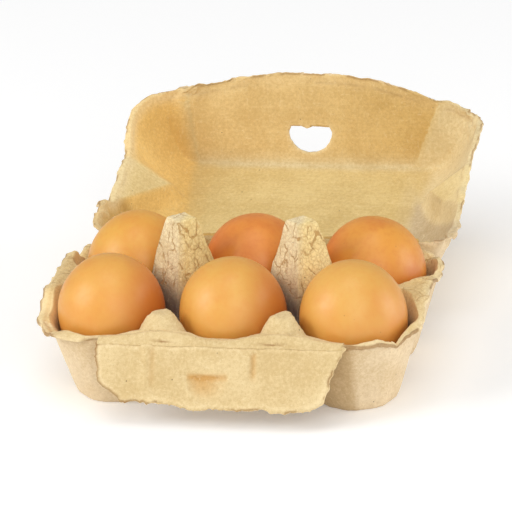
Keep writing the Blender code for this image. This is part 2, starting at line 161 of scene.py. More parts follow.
# Crushed spots: the middle's x, y and z, the radius and the strength in mm, and the noise's seed
TRAY_DENTS = (
    (66, -41, 33, 7, 1.1, 131),
    (75, 30, 35, 6, 0.9, 132),
    (-77, 28, 35, 6, 0.9, 133),
    (-76, -36, 33, 6, 0.5, 134),
)
LID_DENTS = (
    (70, -42, 2, 9, 1.5, 141),
    (76, 46, 1, 7, 1.7, 142),
    (-76, 36, 1, 6, 1.4, 143),
    (-52, -53, 0, 5, 0.9, 144),
)

joints = {joint["name"]: joint for joint in frame["joints"]}
CARTON_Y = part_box("base_tray")[0].y - TRAY_FRONT
LID_HINGE = np.array(joints["lid_hinge"]["pos_m"])
FLAP_HINGE = np.array(joints["flap_hinge"]["pos_m"])


# ---------------- numbers


def soft_max(a, b, blend):
    return np.maximum(a, b) + np.maximum(blend - np.abs(a - b), 0.0) ** 2 / (4 * blend)


def soft_min(a, b, blend):
    return -soft_max(-a, -b, blend)


def ease(value, start, end):
    t = np.clip((value - start) / (end - start), 0.0, 1.0)
    return t * t * (3 - 2 * t)


def ease_mm(value, start, end):
    return ease(value, start * MM, end * MM)


def mix(a, b, t):
    return a + (b - a) * t


def hump(distance, half_width):
    return 1 - ease(np.abs(distance), 0.0, half_width)


def bell(value, middle, width):
    return np.exp(-(((value - middle) / width) ** 2))


def bell_mm(value, middle, width):
    return bell(value, middle * MM, width * MM)


def stretch(value, limits):
    """1 over a stretch of values, easing to 0 at both of its ends."""
    start, full, until, end = limits
    return ease(value, start, full) * (1 - ease(value, until, end))


def by_side(x, values):
    return np.where(x < 0, values[-1], values[1])


def end_stretch(x, y, limits):
    """The stretch along Y that belongs to the left or the right end."""
    return np.where(x < 0, stretch(y, limits[-1]), stretch(y, limits[1]))


LATTICE = 40


def noise(points, size, seed):
    """Smooth noise between -1 and 1 at points (n, 3), with lumps about size across."""
    table = np.random.default_rng(seed).uniform(-1.0, 1.0, (LATTICE,) * 3)
    scaled = points / size + 0.37 * seed
    cell = np.floor(scaled).astype(int)
    t = scaled - cell
    t = t**3 * (t * (6 * t - 15) + 10)
    total = np.zeros(len(points))
    for corner in np.ndindex(2, 2, 2):
        weight = np.ones(len(points))
        for axis, far in enumerate(corner):
            weight *= t[:, axis] if far else 1 - t[:, axis]
        total += weight * table[tuple(((cell + corner) % LATTICE).T)]
    return total


def fractal(points, size, seed, octaves=3):
    total = np.zeros(len(points))
    for octave in range(octaves):
        total += noise(points, size / 2**octave, seed + octave) / 2**octave
    return total


def turned(points, degrees):
    """Points turned about the X axis."""
    c, s = cos(radians(degrees)), sin(radians(degrees))
    out = points.copy()
    out[:, 1] = points[:, 1] * c - points[:, 2] * s
    out[:, 2] = points[:, 1] * s + points[:, 2] * c
    return out


# ---------------- sheets of pulp


def boundary_loops(faces):
    """The open edges of a list of faces, as closed loops of point numbers."""
    after = {}
    edges = set()
    for face in faces:
        for a, b in zip(face, face[1:] + face[:1]):
            edges.add((a, b))
    for a, b in edges:
        if (b, a) not in edges:
            after[a] = b
    loops = []
    while after:
        start = next(iter(after))
        loop = [start]
        here = after.pop(start)
        while here != start:
            loop.append(here)
            here = after.pop(here)
        loops.append(loop)
    return loops


def spread_out(across, along):
    """The points of a grid, row by row, as two flat arrays."""
    return (values.ravel() for values in np.meshgrid(across, along))


def grid_faces(rows, columns):
    return [
        (r * columns + c, r * columns + c + 1, (r + 1) * columns + c + 1, (r + 1) * columns + c)
        for r in range(rows - 1)
        for c in range(columns - 1)
    ]


def surface_normals(points, faces):
    """Smooth normals of a patch of faces."""
    mesh = bpy.data.meshes.new("normals")
    mesh.from_pydata(points.tolist(), [], faces)
    out = np.zeros(len(points) * 3, np.float32)
    mesh.vertex_normals.foreach_get("vector", out)
    bpy.data.meshes.remove(mesh)
    return out.reshape(-1, 3).astype(float)


def search_tree(targets):
    tree = kdtree.KDTree(len(targets))
    for i, p in enumerate(targets):
        tree.insert(p, i)
    tree.balance()
    return tree


def closest_distance(points, targets):
    tree = search_tree(targets)
    return np.array([tree.find(p)[2] for p in points])


def rim_distance(points, sheet, loops):
    return closest_distance(points, sheet[[i for loop in loops for i in loop]])


def rim_frame(points, loops):
    """For each point, its distance to the sheet's edge and the outward way at the edge nearest it."""
    rim, outward = [], []
    middle = points.mean(axis=0)
    for loop in loops:
        ring = points[loop]
        along = np.roll(ring, -3, axis=0) - np.roll(ring, 3, axis=0)
        along /= np.linalg.norm(along, axis=1)[:, None] + 1e-12
        away = ring - middle
        away -= along * np.sum(away * along, axis=1)[:, None]
        away[:, 2] *= 0.25
        away /= np.linalg.norm(away, axis=1)[:, None] + 1e-12
        rim.append(ring)
        outward.append(away)
    rim, outward = np.concatenate(rim), np.concatenate(outward)
    tree = search_tree(rim)
    found = [tree.find(p) for p in points]
    distance = np.array([f[2] for f in found])
    return distance, outward[[f[1] for f in found]]


FRAY_REACH = 1.6 * MM
RIM_STEPS = 3


def fray(top, bottom, loops, amount, size, seed):
    """Makes the edge of a sheet wander in and out, and up and down, like torn pulp."""
    distance, outward = rim_frame(top, loops)
    fade = np.exp(-distance / FRAY_REACH)[:, None]
    wander = 0.5 * fractal(top, size, seed, 4) - 0.35
    spikes = np.maximum(noise(top, size / 4, seed + 9), 0.35) - 0.35
    move = outward * ((wander + spikes) * amount)[:, None]
    move[:, 2] += 0.5 * amount * fractal(top, 1.3 * size, seed + 5)
    return top + move * fade, bottom + move * fade


def crumple(points, dents):
    """Crushes the pulp at each dent: every point near it is pushed about by rough noise."""
    for x, y, z, radius, amount, seed in dents:
        centre = np.array((x, y, z)) * MM
        share = bell(np.linalg.norm(points - centre, axis=1), 0.0, radius * MM)
        push = np.column_stack([fractal(points, 3.2 * MM, seed + 3 * axis) for axis in range(3)])
        points = points + push * (share * (amount * MM))[:, None]
    return points


def roughened(points, shell, seed, strength=1.0):
    return points + surface_normals(points, shell) * pulp_relief(points, seed)[:, None] * strength


def closed_sheet(top, bottom, faces, loops, bulge):
    """Vertices and faces of a closed shell with a rounded edge."""
    count = len(top)
    points = [top, bottom]
    shell = list(faces) + [tuple(count + i for i in reversed(face)) for face in faces]
    base = 2 * count
    for loop in loops:
        upper, lower = top[loop], bottom[loop]
        along = np.roll(upper, -2, axis=0) - np.roll(upper, 2, axis=0)
        outward = np.cross(along, upper - lower)
        outward /= np.linalg.norm(outward, axis=1)[:, None] + 1e-12
        rings = [loop]
        for step in range(1, RIM_STEPS + 1):
            t = step / (RIM_STEPS + 1)
            points.append(mix(upper, lower, t) + outward * bulge * sin(pi * t))
            rings.append([base + i for i in range(len(loop))])
            base += len(loop)
        rings.append([count + i for i in loop])
        for near, far in zip(rings, rings[1:]):
            for i in range(len(loop)):
                after = (i + 1) % len(loop)
                shell.append((near[after], near[i], far[i], far[after]))
    return np.concatenate(points), shell


def add_object(name, data):
    made = bpy.data.objects.new(name, data)
    bpy.context.scene.collection.objects.link(made)
    return made


def new_piece(name, points, faces, material, node, body=None, tint=None, cracked=0.0):
    """A visible piece in place of a CAD node. Pulp has a tint and a share of cracks at each vertex."""
    mesh = bpy.data.meshes.new(name)
    mesh.from_pydata(points.tolist(), [], faces)
    mesh.materials.append(material)
    mesh.shade_smooth()
    if tint is not None:
        rgba = np.column_stack([tint, np.ones(len(points))]).astype(np.float32)
        mesh.attributes.new("tint", "FLOAT_COLOR", "POINT").data.foreach_set("color", rgba.ravel())
        share = (np.zeros(len(points)) + cracked).astype(np.float32)
        mesh.attributes.new("cracked", "FLOAT", "POINT").data.foreach_set("value", share)
    piece = add_object(name, mesh)
    if body:
        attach(piece, body)
    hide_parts(node)
    return piece


def srgb(r, g, b):
    """Linear colour from ordinary 0 to 255 values."""
    return np.array([((c / 255 + 0.055) / 1.055) ** 2.4 for c in (r, g, b)])


def paint(colours, other, share):
    """Colours moved toward another colour by a share for each point."""
    return colours + (other - colours) * np.asarray(share)[:, None]


def layered(colours, layers):
    """Colours painted over in turn with layers of (colour, share for each point)."""
    for other, share in layers:
        colours = paint(colours, other, share)
    return colours


def torn_edge(tint, points, rim, seed):
    """Darkens the very edge of the pulp in places, where it was torn."""
    gate = ease(fractal(points, 9 * MM, seed), -0.12, 0.18)
    return paint(tint, TORN_BROWN, 0.75 * gate * bell_mm(rim, 0.0, 0.45))


def pulp_relief(points, seed):
    """Height of the lumps and pits of moulded pulp."""
    return (
        0.16 * MM * fractal(points, 9 * MM, seed)
        + 0.10 * MM * fractal(points, 2.4 * MM, seed + 20)
        + 0.05 * MM * noise(points, 0.9 * MM, seed + 40)
    )


# Some of these colours are painted light and shade: the flap's shadow on the tray's front and on a cup
# facet, the gold of the posts' sides in shade, the shadow between the eggs, the shade in the cups'
# mouths and rear hollows, the lid's pockets in light and in shade, the grey shadow in its right rear
# pocket, its right wall in shade, the shade in its creases, and the shade in the flap's lug recess.
OUTSIDE_PINK, OUTSIDE_FLAP_SHADOW = srgb(231, 209, 172), srgb(220, 194, 152)
POST_STRAW, POST_SHADE_GOLD = srgb(244, 226, 182), srgb(255, 232, 164)
HOLLOW_SHADOW, CUP_MOUTH_SHADE, CUP_FACET_SHADOW = srgb(90, 72, 72), srgb(138, 96, 56), srgb(196, 168, 124)
TORN_BROWN = srgb(150, 106, 58)
RIM_PALE, CREASE_SHADE_BROWN = srgb(246, 226, 180), srgb(150, 104, 54)
LID_PANEL, LID_WALL, LID_BAND = srgb(223, 198, 136), srgb(232, 202, 140), srgb(218, 200, 156)
POCKET_SHADE_GOLD, POCKET_LIT_PALE = srgb(242, 204, 126), srgb(228, 208, 160)
POCKET_SHADOW_GREY, LID_FACET = srgb(194, 174, 140), srgb(238, 216, 158)
HOLLOW_SHADE_GOLD, LID_WALL_SHADE_RIGHT = srgb(206, 168, 97), srgb(216, 182, 114)
FLAP_STRAW, LUG_SHADE_BROWN = srgb(223, 199, 149), srgb(204, 158, 92)


# ---------------- tray


def cup_distance(dx, dy, turn=0.0):
    total = np.zeros_like(dx)
    for side in range(CUP_SIDES):
        angle = 2 * pi * side / CUP_SIDES + turn
        total += np.maximum(dx * cos(angle) + dy * sin(angle), 0.0) ** CUP_SOFTNESS
    return total ** (1 / CUP_SOFTNESS)


def nearest_cup(x, y):
    return np.min(
        [
            cup_distance(x - cx, y - cy, CUP_TURNS.get((column, row), 0.0))
            for column, cx in enumerate(COLUMN_X)
            for row, cy in enumerate(ROW_Y)
        ],
        axis=0,
    )


def ridge_height(x, y):
    rim = mix(FRONT_RIM, REAR_RIM, (y - TRAY_FRONT) / (TRAY_REAR - TRAY_FRONT))
    inset = np.min([x - TRAY_LEFT, TRAY_RIGHT - x, y - TRAY_FRONT, TRAY_REAR - y], axis=0)
    saddle = mix(rim, SADDLE, ease(inset, *SADDLE_REACH))
    end = ease_mm(np.abs(x), 50, 60) * end_stretch(x, y, END_PEAK_Y)
    outward = ease_mm(np.abs(x), 60, 76)
    peak = mix(rim + by_side(x, END_PEAK_INNER), by_side(x, END_PEAK_TOP), outward)
    height = mix(saddle, peak, end)
    height -= LEFT_DIP * ease_mm(-x, 60, 72) * bell(y, LEFT_DIP_Y, 4.5 * MM)
    front = ease(y, TRAY_FRONT, TRAY_FRONT + 2 * MM) * (1 - ease(y, TRAY_FRONT + 2 * MM, -38 * MM))
    return height + front_swell(x) * front


def from_post(x):
    return np.min([np.abs(x - px) for px in POST_X], axis=0)


def front_swell(x):
    """How much the front rim rises toward its two peaks."""
    return FRONT_SWELL * hump(from_post(x), FRONT_SWELL_HALF)


def post_height(x, y, shrink):
    spread = POST_STRETCH * from_post(x) + np.abs(y)
    face = POST_TOP + POST_SLOPE * (POST_FLAT - shrink * 1.414 - spread)
    return soft_min(POST_TOP - shrink, face, POST_BLEND)


def peak_height(x, y, peak, steeper_side):
    dx, dy = from_post(x), y - peak["y"]
    dy = np.where(dy * steeper_side > 0, PEAK_STEEPER * dy, dy)
    face = peak["top"] + PEAK_SLOPE * (PEAK_FLAT - np.hypot(dx, dy))
    return soft_min(peak["top"], face, POST_BLEND)


def tray_height(x, y, shrink):
    """The tray's upper surface, or with shrink its underside, which is one wall further in."""
    distance = nearest_cup(x, y)
    lift = 0.0 if shrink else PULP
    wall = FRONT_RIM - (CUP_RADIUS + shrink - distance) / CUP_DRAFT
    cup = soft_max(lift, wall, FLOOR_BLEND)
    ridge = np.max(
        [
            ridge_height(x, y),
            peak_height(x, y, FRONT_PEAK, -1),
            peak_height(x, y, REAR_PEAK, 1),
        ],
        axis=0,
    )
    ends = ease_mm(np.abs(x), 50, 58)
    ridge += MOUTH_LIP * ends * bell(distance, CUP_RADIUS + 0.9 * MM, 0.8 * MM)
    ridge -= PULP if shrink else 0.0
    return np.maximum(post_height(x, y, shrink), soft_min(cup, ridge, MOUTH_BLEND))


def round_corner(x, y):
    side_x, side_y = (-1 if x < 0 else 1), (-1 if y < 0 else 1)
    radius = CORNER_RADII[side_x, side_y]
    centre_x = (TRAY_RIGHT if side_x > 0 else TRAY_LEFT) - side_x * radius
    centre_y = (TRAY_REAR if side_y > 0 else TRAY_FRONT) - side_y * radius
    out_x, out_y = (x - centre_x) * side_x, (y - centre_y) * side_y
    if out_x <= 0 or out_y <= 0:
        return x, y
    scale = radius / np.hypot(out_x, out_y)
    return centre_x + (x - centre_x) * scale, centre_y + (y - centre_y) * scale


SIDE_POINTS = 44
CUP_RINGS, OUTER_RINGS = 26, 22


def cell_outline(column, row):
    left = TRAY_LEFT if column == 0 else COLUMN_X[column] - PITCH / 2
    right = TRAY_RIGHT if column == 2 else COLUMN_X[column] + PITCH / 2
    front = TRAY_FRONT if row == 0 else 0.0
    rear = 0.0 if row == 0 else TRAY_REAR
    corners = [(left, front), (right, front), (right, rear), (left, rear)]
    points = []
    for start, end in zip(corners, corners[1:] + corners[:1]):
        for i in range(SIDE_POINTS):
            even = i / SIDE_POINTS
            t = (even + 0.5 - 0.5 * cos(pi * even)) / 2
            points.append(round_corner(mix(start[0], end[0], t), mix(start[1], end[1], t)))
    return np.array(points)


def tray_plan():
    """The tray seen from above: points (n, 2), shared between cells, and faces."""
    numbers, points, faces = {}, [], []

    def number(x, y):
        key = (round(x / (0.01 * MM)), round(y / (0.01 * MM)))
        if key not in numbers:
            numbers[key] = len(points)
            points.append((x, y))
        return numbers[key]

    for column, cx in enumerate(COLUMN_X):
        for row, cy in enumerate(ROW_Y):
            outline = cell_outline(column, row)
            offset = outline - (cx, cy)
            reach = cup_distance(*offset.T, CUP_TURNS.get((column, row), 0.0))
            edge = np.minimum(CUP_RADIUS / reach, 1.0)
            scales = [edge * (0.06 + 0.94 * (i / CUP_RINGS)) for i in range(CUP_RINGS + 1)]
            scales += [mix(edge, 1.0, (i + 1) / OUTER_RINGS) for i in range(OUTER_RINGS)]
            inner = None
            for scale in scales:
                ring = [
                    number(cx + dx * s, cy + dy * s) for (dx, dy), s in zip(offset, scale)
                ]
                if inner is None:
                    faces.append(tuple(ring))
                else:
                    for i in range(len(ring)):
                        after = (i + 1) % len(ring)
                        corner = (inner[i], ring[i], ring[after], inner[after])
                        face = tuple(dict.fromkeys(corner))
                        if len(face) > 2:
                            faces.append(face)
                inner = ring
    return np.array(points), faces


def build_tray(material):
    plan, faces = tray_plan()
    x, y = plan.T
    top = np.column_stack([x, y, tray_height(x, y, 0.0)])
    bottom = np.column_stack([x, y, tray_height(x, y, CUP_WALL)])
    loops = boundary_loops(faces)
    distance, _ = rim_frame(top, loops)
    roll = LIP_ROLL * (1 - ease_mm(distance, 0, 3.0)) * ease_mm(np.abs(x), 46, 56)
    top[:, 2] -= roll
    bottom[:, 2] -= roll
    top, bottom = fray(top, bottom, loops, 1.0 * MM, 4 * MM, seed=3)
    points, shell = closed_sheet(top, bottom, faces, loops, 0.35 * MM)
    normals = surface_normals(points, shell)
    height = points[:, 2]
    inside = np.zeros(len(points))
    inside[: len(top)] = 1
    rough = 1 + 1.5 * inside * ease_mm(height, 34, 42) * (1 - ease_mm(height, 58, 62))
    points += normals * (pulp_relief(points, 11) * rough)[:, None]
    points = crumple(points, TRAY_DENTS)
    points[:, 2] = np.maximum(points[:, 2], 0.0)
    lip = np.zeros(len(points))
    lip[: len(top)] = np.exp(-distance / (1.6 * MM))
    lip[2 * len(top) :] = 1.0
    tint = tray_tint(points, inside, lip)
    points[:, 1] += CARTON_Y
    y = points[:, 1] - CARTON_Y
    cracked = np.maximum(ease_mm(height, 33, 41) * (np.abs(y) < 18 * MM), y > 38 * MM)
    new_piece(
        "tray", points, shell, material, "base_tray", "base", tint, inside * cracked
    )


def tray_tint(points, inside, lip):
    """Pinkish outside and straw-coloured on top, with painted shade: the flap's shadow on the front, a
    deeper gold on the posts' right sides, shadow between the eggs and shade in the cups' mouths and
    along the rear.
    """
    x, y, z = points.T
    # Painted shadow of the flap on the outside of the front cups, and on the left facet of the front
    # right cup.
    flap_shadow = 1 - ease(y, TRAY_FRONT - 1 * MM, -44 * MM)
    facet_in_flap_shadow = ease_mm(x, 26, 30) * (1 - ease_mm(x, 50, 54)) * (y < -30 * MM)
    tint = layered(np.tile(OUTSIDE_PINK, (len(points), 1)), (
        (OUTSIDE_FLAP_SHADOW, 0.8 * flap_shadow * (z < 32 * MM)),
        (CUP_FACET_SHADOW, 0.8 * facet_in_flap_shadow * (z < 31 * MM)),
    ))
    beside_post = x - np.where(x < 0, POST_X[0], POST_X[1])
    # Painted shade: each post's right side gets a deeper gold, the side away from the light.
    post_shade_side = ease_mm(beside_post, -1, 3)
    between = (np.abs(x) < 45 * MM) * (np.abs(y) < 38 * MM)
    # Painted shadow low between the eggs, reaching higher on the left of each post.
    shadow = 1 - ease_mm(z + 0.5 * np.clip(beside_post, -14 * MM, 14 * MM), 30, 42)
    # Painted shade inside the cups' mouths, mottled with gold blotches toward the left end.
    inner_wall = ease_mm(CUP_RADIUS - nearest_cup(x, y), 0.2, 2)
    blotches = ease(fractal(points, 4 * MM, 61), 0.05, 0.35) * (x < -64 * MM)
    upper = layered(np.tile(POST_STRAW, (len(points), 1)), (
        (POST_SHADE_GOLD, post_shade_side * ease_mm(z, 34, 44) * 0.8),
        (FLAP_STRAW, 1 - ease_mm(y, -40, -34)),
        (HOLLOW_SHADOW, 0.9 * shadow * between),
        (LID_WALL, 0.8 * ease_mm(np.abs(x), 54, 62) * (y > -36 * MM)),
        # painted shade along the tray's rear, under the lid's hinge
        (HOLLOW_SHADE_GOLD, 0.8 * ease_mm(y, 36, 42) * (np.abs(x) < 50 * MM)),
        (CUP_MOUTH_SHADE, 0.8 * inner_wall),
        (POCKET_SHADE_GOLD, 0.8 * inner_wall * blotches),
    ))
    tint = tint + (upper - tint) * inside[:, None]
    tint = paint(tint, RIM_PALE, 0.8 * lip)
    return torn_edge(tint, points, -np.log(np.maximum(lip, 1e-6)) * 1.6 * MM, 62)


# ---------------- lid


def lid_half_length(x, y):
    """How far the lid reaches to the side that x is on."""
    past = np.maximum(LID_FRONT_Y + LID_CORNER - y, 0.0)
    half = LID_HALF_LENGTH + np.sqrt(np.maximum(LID_CORNER**2 - past**2, 0.0)) - LID_CORNER
    ear = np.maximum(y - LID_EAR_Y, 0.0) / (LID_REAR_Y - LID_EAR_Y)
    notches = by_side(x, END_NOTCH_IN) * end_stretch(x, y, END_NOTCH_Y)
    return half - LID_EAR_CUT * ear**2 - notches


def rim_lift(x, y):
    corner = ease(x, 17 * MM, ARCH_HALF) * (1 - ease(y, LID_FRONT_Y, -20 * MM))
    notches = by_side(x, END_NOTCH_LIFT) * end_stretch(x, y, END_NOTCH_Y)
    left = ease_mm(-x, 44, 60) * (1 - ease_mm(y, -48, -24))
    return notches + CORNER_LIFT * corner - LEFT_CORNER_DROP * left


def arch(x):
    return np.maximum(1 - (x / ARCH_HALF) ** 2, 0.0)


def front_edge_y(x):
    return LID_FRONT_Y - ARCH_BOW * arch(x)


def panel_half_length(y):
    t = ease(np.abs(y), 0.0, -LID_FRONT_FOLD_Y)
    return mix(PANEL_HALF_MIDDLE, PANEL_HALF_FRONT, t)


def facet_offset(x, y, t):
    """How far a point of an end wall is outside that end's pointed facet, along Y."""
    inward = t / FACET_REACH
    middle = by_side(x, FACET_Y) + by_side(x, FACET_LEAN) * np.minimum(inward, 1.0)
    return np.abs(y - middle) - by_side(x, FACET_HALF) * (1 - inward)


def end_share(x, y):
    """How far a point is on its way across an end wall, 0 at the flange and 1 at the panel."""
    half = lid_half_length(x, y)
    return np.clip((half - np.abs(x) - LID_FLANGE) / (half - panel_half_length(y) - LID_FLANGE), 0, 1)


def lid_walls(x, y):
    """Depths of the end walls, the front wall and the rear wall."""
    edge = rim_lift(x, y)
    t = end_share(x, y)
    power = 1 + POCKET_BULGE * ease_mm(facet_offset(x, y, t), -1, 9)
    end = edge + (LID_DEPTH - edge) * (1 - (1 - t) ** power)
    end += 0.12 * np.minimum(lid_half_length(x, y) - np.abs(x), LID_FLANGE)
    front_y = front_edge_y(x)
    low = ARCH_DEPTH * arch(x) - rim_lift(x, np.full_like(y, LID_FRONT_Y))
    front = (y - front_y) * (LID_DEPTH + low) / (LID_FRONT_FOLD_Y - front_y) - low
    up_wall = np.clip((y - front_y) / (LID_FRONT_FOLD_Y - front_y), 0, 1)
    past_fold = np.abs(x) - mix(CORNER_FOLD_RIM, by_side(x, CORNER_FOLD_PANEL), up_wall)
    end = np.where(past_fold > 0, np.minimum(end, front - CORNER_FOLD_SLOPE * past_fold), end)
    front -= FRONT_LIP * np.exp(-np.maximum(y - front_y, 0.0) / (1.2 * MM))
    rear = LID_ROOT_DEPTH + (LID_REAR_Y - y) * (LID_DEPTH - LID_ROOT_DEPTH) / (
        LID_REAR_Y - LID_REAR_FOLD_Y
    )
    return end, front, rear


def lid_depth(x, y):
    end, front, rear = lid_walls(x, y)
    half = lid_half_length(x, y)
    blend = LID_BLEND * np.clip(8 * (half - np.abs(x)) / half, 0.01, 1.0)
    walls = soft_min(soft_min(front, rear, LID_BLEND), end, 0.7 * blend)
    return soft_min(walls, LID_DEPTH, blend)


LID_COLUMNS, LID_ROWS = 241, 171


def lid_grid():
    """The lid's inner surface with the lid shut level, in the carton frame's X and Y, with depth."""
    t = np.linspace(-1, 1, LID_COLUMNS)
    u = t * (1.25 - 0.25 * t * t)
    s = np.linspace(-1, 1, LID_ROWS)
    rows = (LID_FRONT_Y + LID_REAR_Y) / 2 + (LID_REAR_Y - LID_FRONT_Y) / 2 * s * (1.3 - 0.3 * s * s)
    uu, yy = spread_out(u, rows)
    x = uu * lid_half_length(uu, yy)
    wall = np.clip((LID_FRONT_FOLD_Y - yy) / (LID_FRONT_FOLD_Y - LID_FRONT_Y), 0.0, 1.0)
    y = yy + wall * (front_edge_y(x) - LID_FRONT_Y)
    return np.column_stack([x, y, lid_depth(x, y)])


def window_outline():
    """The lock window: a bowl toward the fold under a nearly straight edge with a notch."""
    bowl = [(cos(a), 0.78 * sin(a) - 0.28) for a in np.linspace(0, pi, 25)]
    edge = [(-0.9, -0.46), (-0.42, -0.5), (-0.15, -0.39), (0.12, -0.49), (0.9, -0.46)]
    rng = np.random.default_rng(21)
    return [
        (
            WINDOW_X + WINDOW_HALF_WIDTH * x * rng.uniform(0.975, 1.01),
            WINDOW_TALL * z * rng.uniform(0.96, 1.02),
        )
        for x, z in bowl + edge
    ]


def window_cutter():
    """The solid that cuts the lock window, in the shut lid's frame."""
    up = Vector((0, LID_FRONT_FOLD_Y - front_edge_y(0.0), LID_DEPTH + ARCH_DEPTH)).normalized()
    centre = Vector((0, LID_FRONT_FOLD_Y, LID_DEPTH)) - up * WINDOW_FROM_FOLD
    outward = Vector((0, -up.z, up.y))
    points = []
    outline = window_outline()
    for depth in mm(-6, 8):
        points += [centre + Vector((x, 0, 0)) + up * z + outward * depth for x, z in outline]
    n = len(outline)
    faces = [tuple(range(n - 1, -1, -1)), tuple(range(n, 2 * n))]
    faces += [(i, (i + 1) % n, n + (i + 1) % n, n + i) for i in range(n)]
    edge = [
        a.lerp(b, t)
        for a, b in zip(points[:n], points[n:])
        for t in np.linspace(0.3, 0.7, 25)
    ]
    return np.array(points), faces, np.array(edge)


def cut(points, faces, cutter_points, cutter_faces):
    """The first closed mesh less the second, as points and faces."""
    objects = []
    for name, p, f in (("cut_body", points, faces), ("cut_tool", cutter_points, cutter_faces)):
        mesh = bpy.data.meshes.new(name)
        mesh.from_pydata(np.asarray(p).tolist(), [], f)
        objects.append(add_object(name, mesh))
    body, tool = objects
    step = body.modifiers.new("cut", "BOOLEAN")
    step.operation = "DIFFERENCE"
    step.solver = "EXACT"
    step.object = tool
    result = body.evaluated_get(bpy.context.evaluated_depsgraph_get()).to_mesh()
    out = np.zeros(len(result.vertices) * 3)
    result.vertices.foreach_get("co", out)
    out_faces = [tuple(polygon.vertices) for polygon in result.polygons]
    for thing in objects:
        bpy.data.objects.remove(thing)
    return out.reshape(-1, 3), out_faces


def build_lid(material):
    inner = lid_grid()
    faces = grid_faces(LID_ROWS, LID_COLUMNS)
    normals = surface_normals(inner, faces)
    normals *= np.sign(normals[len(normals) // 2, 2])
    outer = inner + normals * PULP
    loops = boundary_loops(faces)
    inner, outer = fray(inner, outer, loops, 1.0 * MM, 6 * MM, seed=31)
    points, shell = closed_sheet(outer, inner, faces, loops, 0.35 * MM)
    tool_points, tool_faces, window_edge = window_cutter()
    points, shell = cut(points, shell, tool_points, tool_faces)
    rim = rim_distance(points, inner, loops)
    window = closest_distance(points, window_edge)
    tint = lid_tint(points, rim, window)
    points = roughened(points, shell, 51)
    points = crumple(points, LID_DENTS)
    hinge_in_carton = np.array([0, LID_REAR_Y, 0])
    points = turned(points - hinge_in_carton, -LID_OPEN) + LID_HINGE
    new_piece("lid_shell", points, shell, material, "lid", "lid", tint)


def lid_tint(points, rim, window):
    """Each zone of the lid's inside has its own tan, with painted light and shade: the pockets in shade
    at the left end and lit at the right, the rear pockets and the front wall's right part in shade, and
    shade in the creases; the folds are paler and the edge is torn.
    """
    x, y, depth = points.T
    left, right = x < 0, x > 0
    end, front, rear = lid_walls(x, y)
    inner = np.min([front, rear, np.full_like(x, LID_DEPTH)], axis=0)
    ends = (1 - ease_mm(end - inner, -1.2, 0.8)) * ease_mm(np.abs(x), 40, 45)
    wall = 1 - ease_mm(front - np.minimum(end, LID_DEPTH), -1.5, 1.0)
    t = end_share(x, y)
    offset = facet_offset(x, y, t)
    facet = 1 - ease_mm(offset, -2.6, 1.4)
    crease = ends * bell_mm(offset, 0.2, 0.5) * (1 - ease(t, 0.35, 0.6)) * ease(t, 0.02, 0.12)
    patchy = ease(fractal(points, 8 * MM, 152), -0.1, 0.25)
    # Paler near the rim: a pale pulp edge, with painted light added toward the left end.
    pale = (0.15 + 0.4 * ease_mm(-x, 40, 60)) * (1 - ease_mm(rim, 2, 8))
    tint = layered(np.tile(LID_PANEL, (len(points), 1)), (
        (LID_WALL, wall),
        # painted shade: the front wall darker toward the right
        (LID_WALL_SHADE_RIGHT, wall * ease_mm(x, -20, 50)),
        (LID_BAND, 0.85 * bell(y, LID_FRONT_FOLD_Y + 0.6 * MM, 2.6 * MM) * (1 - ends)),
        # painted shade on the left end's pockets
        (POCKET_SHADE_GOLD, ends * left),
        # painted shade in the left end's rear pocket
        (HOLLOW_SHADE_GOLD, ends * left * ease_mm(y, 14, 22)),
        # painted light on the right end's pockets
        (POCKET_LIT_PALE, ends * right),
        (LID_FACET, ends * facet),
        # painted shadow in the right end's rear pocket
        (POCKET_SHADOW_GREY, 0.85 * ends * right * ease_mm(y + 64 * MM * t, 34, 42)),
        (LID_BAND, 0.5 * left * bell_mm(end - front, 0.0, 1.5) * (depth > 4 * MM)),
        # painted shade in the crease beside the right facet, and in a patchy line inside the rim
        (CREASE_SHADE_BROWN, 0.45 * crease * right * (y < 8 * MM)),
        (CREASE_SHADE_BROWN, 0.3 * bell_mm(rim, 3.4, 0.6) * patchy),
        (RIM_PALE, pale),
    ))
    tint = torn_edge(tint, points, rim, 151)
    tint = paint(tint, RIM_PALE, 0.7 * np.exp(-window / (0.7 * MM)))
    outer = ease_mm(depth - lid_depth(x, y), 0.5, 1.0)
    return paint(tint, OUTSIDE_PINK, 0.8 * outer)


# ---------------- flap


FLAP_COLUMNS, FLAP_ROWS = 241, 71


def flap_half_width(share, side):
    """How far the flap reaches to its left or right at a share of its height."""
    left = FLAP_HALF_WIDTH - 1.2 * MM * share - 9.5 * MM * ease(share, 0.62, 1.05)
    right = FLAP_HALF_WIDTH - 8.4 * MM * share**0.85 - 4.6 * MM * ease(share, 0.84, 1.04)
    return np.where(side < 0, left, right)


def flap_length(x):
    return FLAP_LENGTH * (1 - 0.085 * ease_mm(-x, 4, 38) - 0.02 * ease_mm(x, 24, 36))


def lug_dish(x, h):
    """Share of the lug's recess, a bowl that is widest and steepest toward the crease."""
    down = (h - LUG_TOP) / (LUG_BOTTOM - LUG_TOP)
    width = LUG_HALF_WIDTH * np.sqrt(np.clip(1 - np.clip(down, 0, 1) ** 2, 0.02, 1))
    across = 1 - np.clip(np.abs(x - LUG_X) / width, 0, 1) ** 3
    return across * ease(down, -0.06, 0.10) * (1 - ease(down, 0.25, 1.0))


def lug_back(x, h):
    """Share of the lug's bulge on the flap's back, which starts lower than the recess."""
    across = 1 - np.clip(np.abs(x - LUG_X - 1.7 * MM) / (7.8 * MM), 0, 1) ** 4
    return across * ease_mm(h, 18.4, 20) * (1 - ease_mm(h, 21, 25.2))


def flap_slot(x, h):
    return bell_mm(x, 14, 1.1) * ease_mm(h, 3, 5) * (1 - ease_mm(h, 12, 16))


